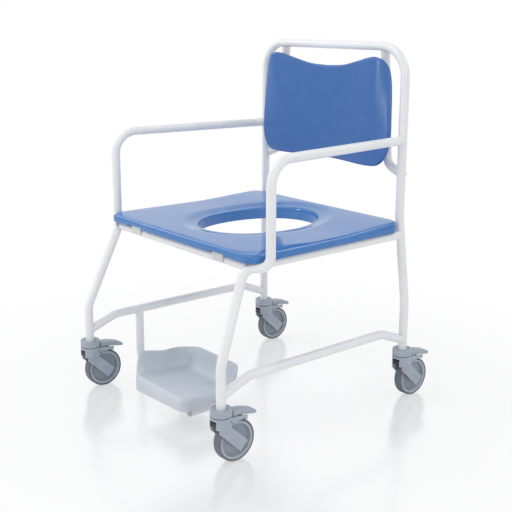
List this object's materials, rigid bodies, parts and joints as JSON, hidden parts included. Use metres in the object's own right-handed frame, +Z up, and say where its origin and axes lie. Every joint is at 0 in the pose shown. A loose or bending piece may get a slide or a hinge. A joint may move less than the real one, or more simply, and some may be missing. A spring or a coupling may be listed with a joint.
{
  "type": "shower commode chair",
  "caption": "Wheeled shower commode chair: white bent-tube frame with armrests, blue seat with an oval opening, blue backrest, grey foot tray and braked swivel castors.",
  "frame": {"origin": "on the floor, midway between the front and rear castor swivel axes and between the two sides", "axes": "+Z up, -Y the way the sitter faces, +X the sitter's left"},
  "size_m": [0.652, 0.718, 0.907],
  "materials": {
    "white_paint": "smooth white powder coat",
    "seat_blue": "glossy moulded plastic",
    "back_blue": "satin moulded foam skin",
    "tray_plastic": "satin moulded plastic",
    "white_plastic": "satin moulded plastic",
    "grey_plastic": "satin moulded plastic",
    "castor_grey": "satin moulded plastic",
    "rim_grey": "satin moulded plastic",
    "steel": "zinc plated",
    "tyre": "grey rubber tread",
    "shoe_rubber": "moulded rubber"
  },
  "bodies": {
    "frame": {"rear_hoop": "white_paint", "left_side_tube": "white_paint", "right_side_tube": "white_paint", "left_seat_rail": "white_paint", "right_seat_rail": "white_paint", "front_rail": "white_paint", "rear_rail": "white_paint", "left_stretcher": "white_paint", "right_stretcher": "white_paint", "left_back_stay": "white_paint", "right_back_stay": "white_paint", "footrest_tube": "white_paint", "footrest_plug": "grey_plastic", "footrest_tray": "tray_plastic", "footrest_saddles": "tray_plastic", "footrest_screws": "steel", "backrest": "back_blue", "backrest_spacers": "grey_plastic", "backrest_screws": "steel", "fl_plug": "steel", "fr_plug": "steel", "rl_plug": "steel", "rr_plug": "steel"},
    "seat_unit": {"seat": "seat_blue", "seat_saddles": "white_plastic", "seat_screws": "steel"},
    "fl_swivel": {"fl_fork": "castor_grey", "fl_cap": "castor_grey", "fl_bearing": "steel", "fl_axle": "steel"},
    "fl_wheel": {"fl_rim": "rim_grey", "fl_tyre": "tyre"},
    "fl_brake": {"fl_pedal": "castor_grey", "fl_shoe": "shoe_rubber"},
    "fr_swivel": {"fr_fork": "castor_grey", "fr_cap": "castor_grey", "fr_bearing": "steel", "fr_axle": "steel"},
    "fr_wheel": {"fr_rim": "rim_grey", "fr_tyre": "tyre"},
    "fr_brake": {"fr_pedal": "castor_grey", "fr_shoe": "shoe_rubber"},
    "rl_swivel": {"rl_fork": "castor_grey", "rl_cap": "castor_grey", "rl_bearing": "steel", "rl_axle": "steel"},
    "rl_wheel": {"rl_rim": "rim_grey", "rl_tyre": "tyre"},
    "rl_brake": {"rl_pedal": "castor_grey", "rl_shoe": "shoe_rubber"},
    "rr_swivel": {"rr_fork": "castor_grey", "rr_cap": "castor_grey", "rr_bearing": "steel", "rr_axle": "steel"},
    "rr_wheel": {"rr_rim": "rim_grey", "rr_tyre": "tyre"},
    "rr_brake": {"rr_pedal": "castor_grey", "rr_shoe": "shoe_rubber"}
  },
  "joints": [
    {"name": "seat_lift", "type": "slide", "parent": "frame", "child": "seat_unit", "axis": [0, 0, 1], "range_m": [0, 0.1]},
    {"name": "fl_turn", "type": "hinge", "parent": "frame", "child": "fl_swivel", "pos_m": [0.286, -0.298, 0.12], "axis": [0, 0, 1], "continuous": true},
    {"name": "fl_roll", "type": "hinge", "parent": "fl_swivel", "child": "fl_wheel", "pos_m": [0.286, -0.262, 0.05], "axis": [1, 0, 0], "continuous": true},
    {"name": "fl_press", "type": "hinge", "parent": "fl_swivel", "child": "fl_brake", "pos_m": [0.286, -0.284, 0.104], "axis": [-1, 0, 0], "range_deg": [0, 6]},
    {"name": "fr_turn", "type": "hinge", "parent": "frame", "child": "fr_swivel", "pos_m": [-0.286, -0.298, 0.12], "axis": [0, 0, 1], "continuous": true},
    {"name": "fr_roll", "type": "hinge", "parent": "fr_swivel", "child": "fr_wheel", "pos_m": [-0.286, -0.262, 0.05], "axis": [1, 0, 0], "continuous": true},
    {"name": "fr_press", "type": "hinge", "parent": "fr_swivel", "child": "fr_brake", "pos_m": [-0.286, -0.284, 0.104], "axis": [-1, 0, 0], "range_deg": [0, 6]},
    {"name": "rl_turn", "type": "hinge", "parent": "frame", "child": "rl_swivel", "pos_m": [0.28, 0.298, 0.12], "axis": [0, 0, 1], "continuous": true},
    {"name": "rl_roll", "type": "hinge", "parent": "rl_swivel", "child": "rl_wheel", "pos_m": [0.28, 0.334, 0.05], "axis": [1, 0, 0], "continuous": true},
    {"name": "rl_press", "type": "hinge", "parent": "rl_swivel", "child": "rl_brake", "pos_m": [0.28, 0.312, 0.104], "axis": [-1, 0, 0], "range_deg": [0, 6]},
    {"name": "rr_turn", "type": "hinge", "parent": "frame", "child": "rr_swivel", "pos_m": [-0.28, 0.298, 0.12], "axis": [0, 0, 1], "continuous": true},
    {"name": "rr_roll", "type": "hinge", "parent": "rr_swivel", "child": "rr_wheel", "pos_m": [-0.28, 0.334, 0.05], "axis": [1, 0, 0], "continuous": true},
    {"name": "rr_press", "type": "hinge", "parent": "rr_swivel", "child": "rr_brake", "pos_m": [-0.28, 0.312, 0.104], "axis": [-1, 0, 0], "range_deg": [0, 6]}
  ]
}
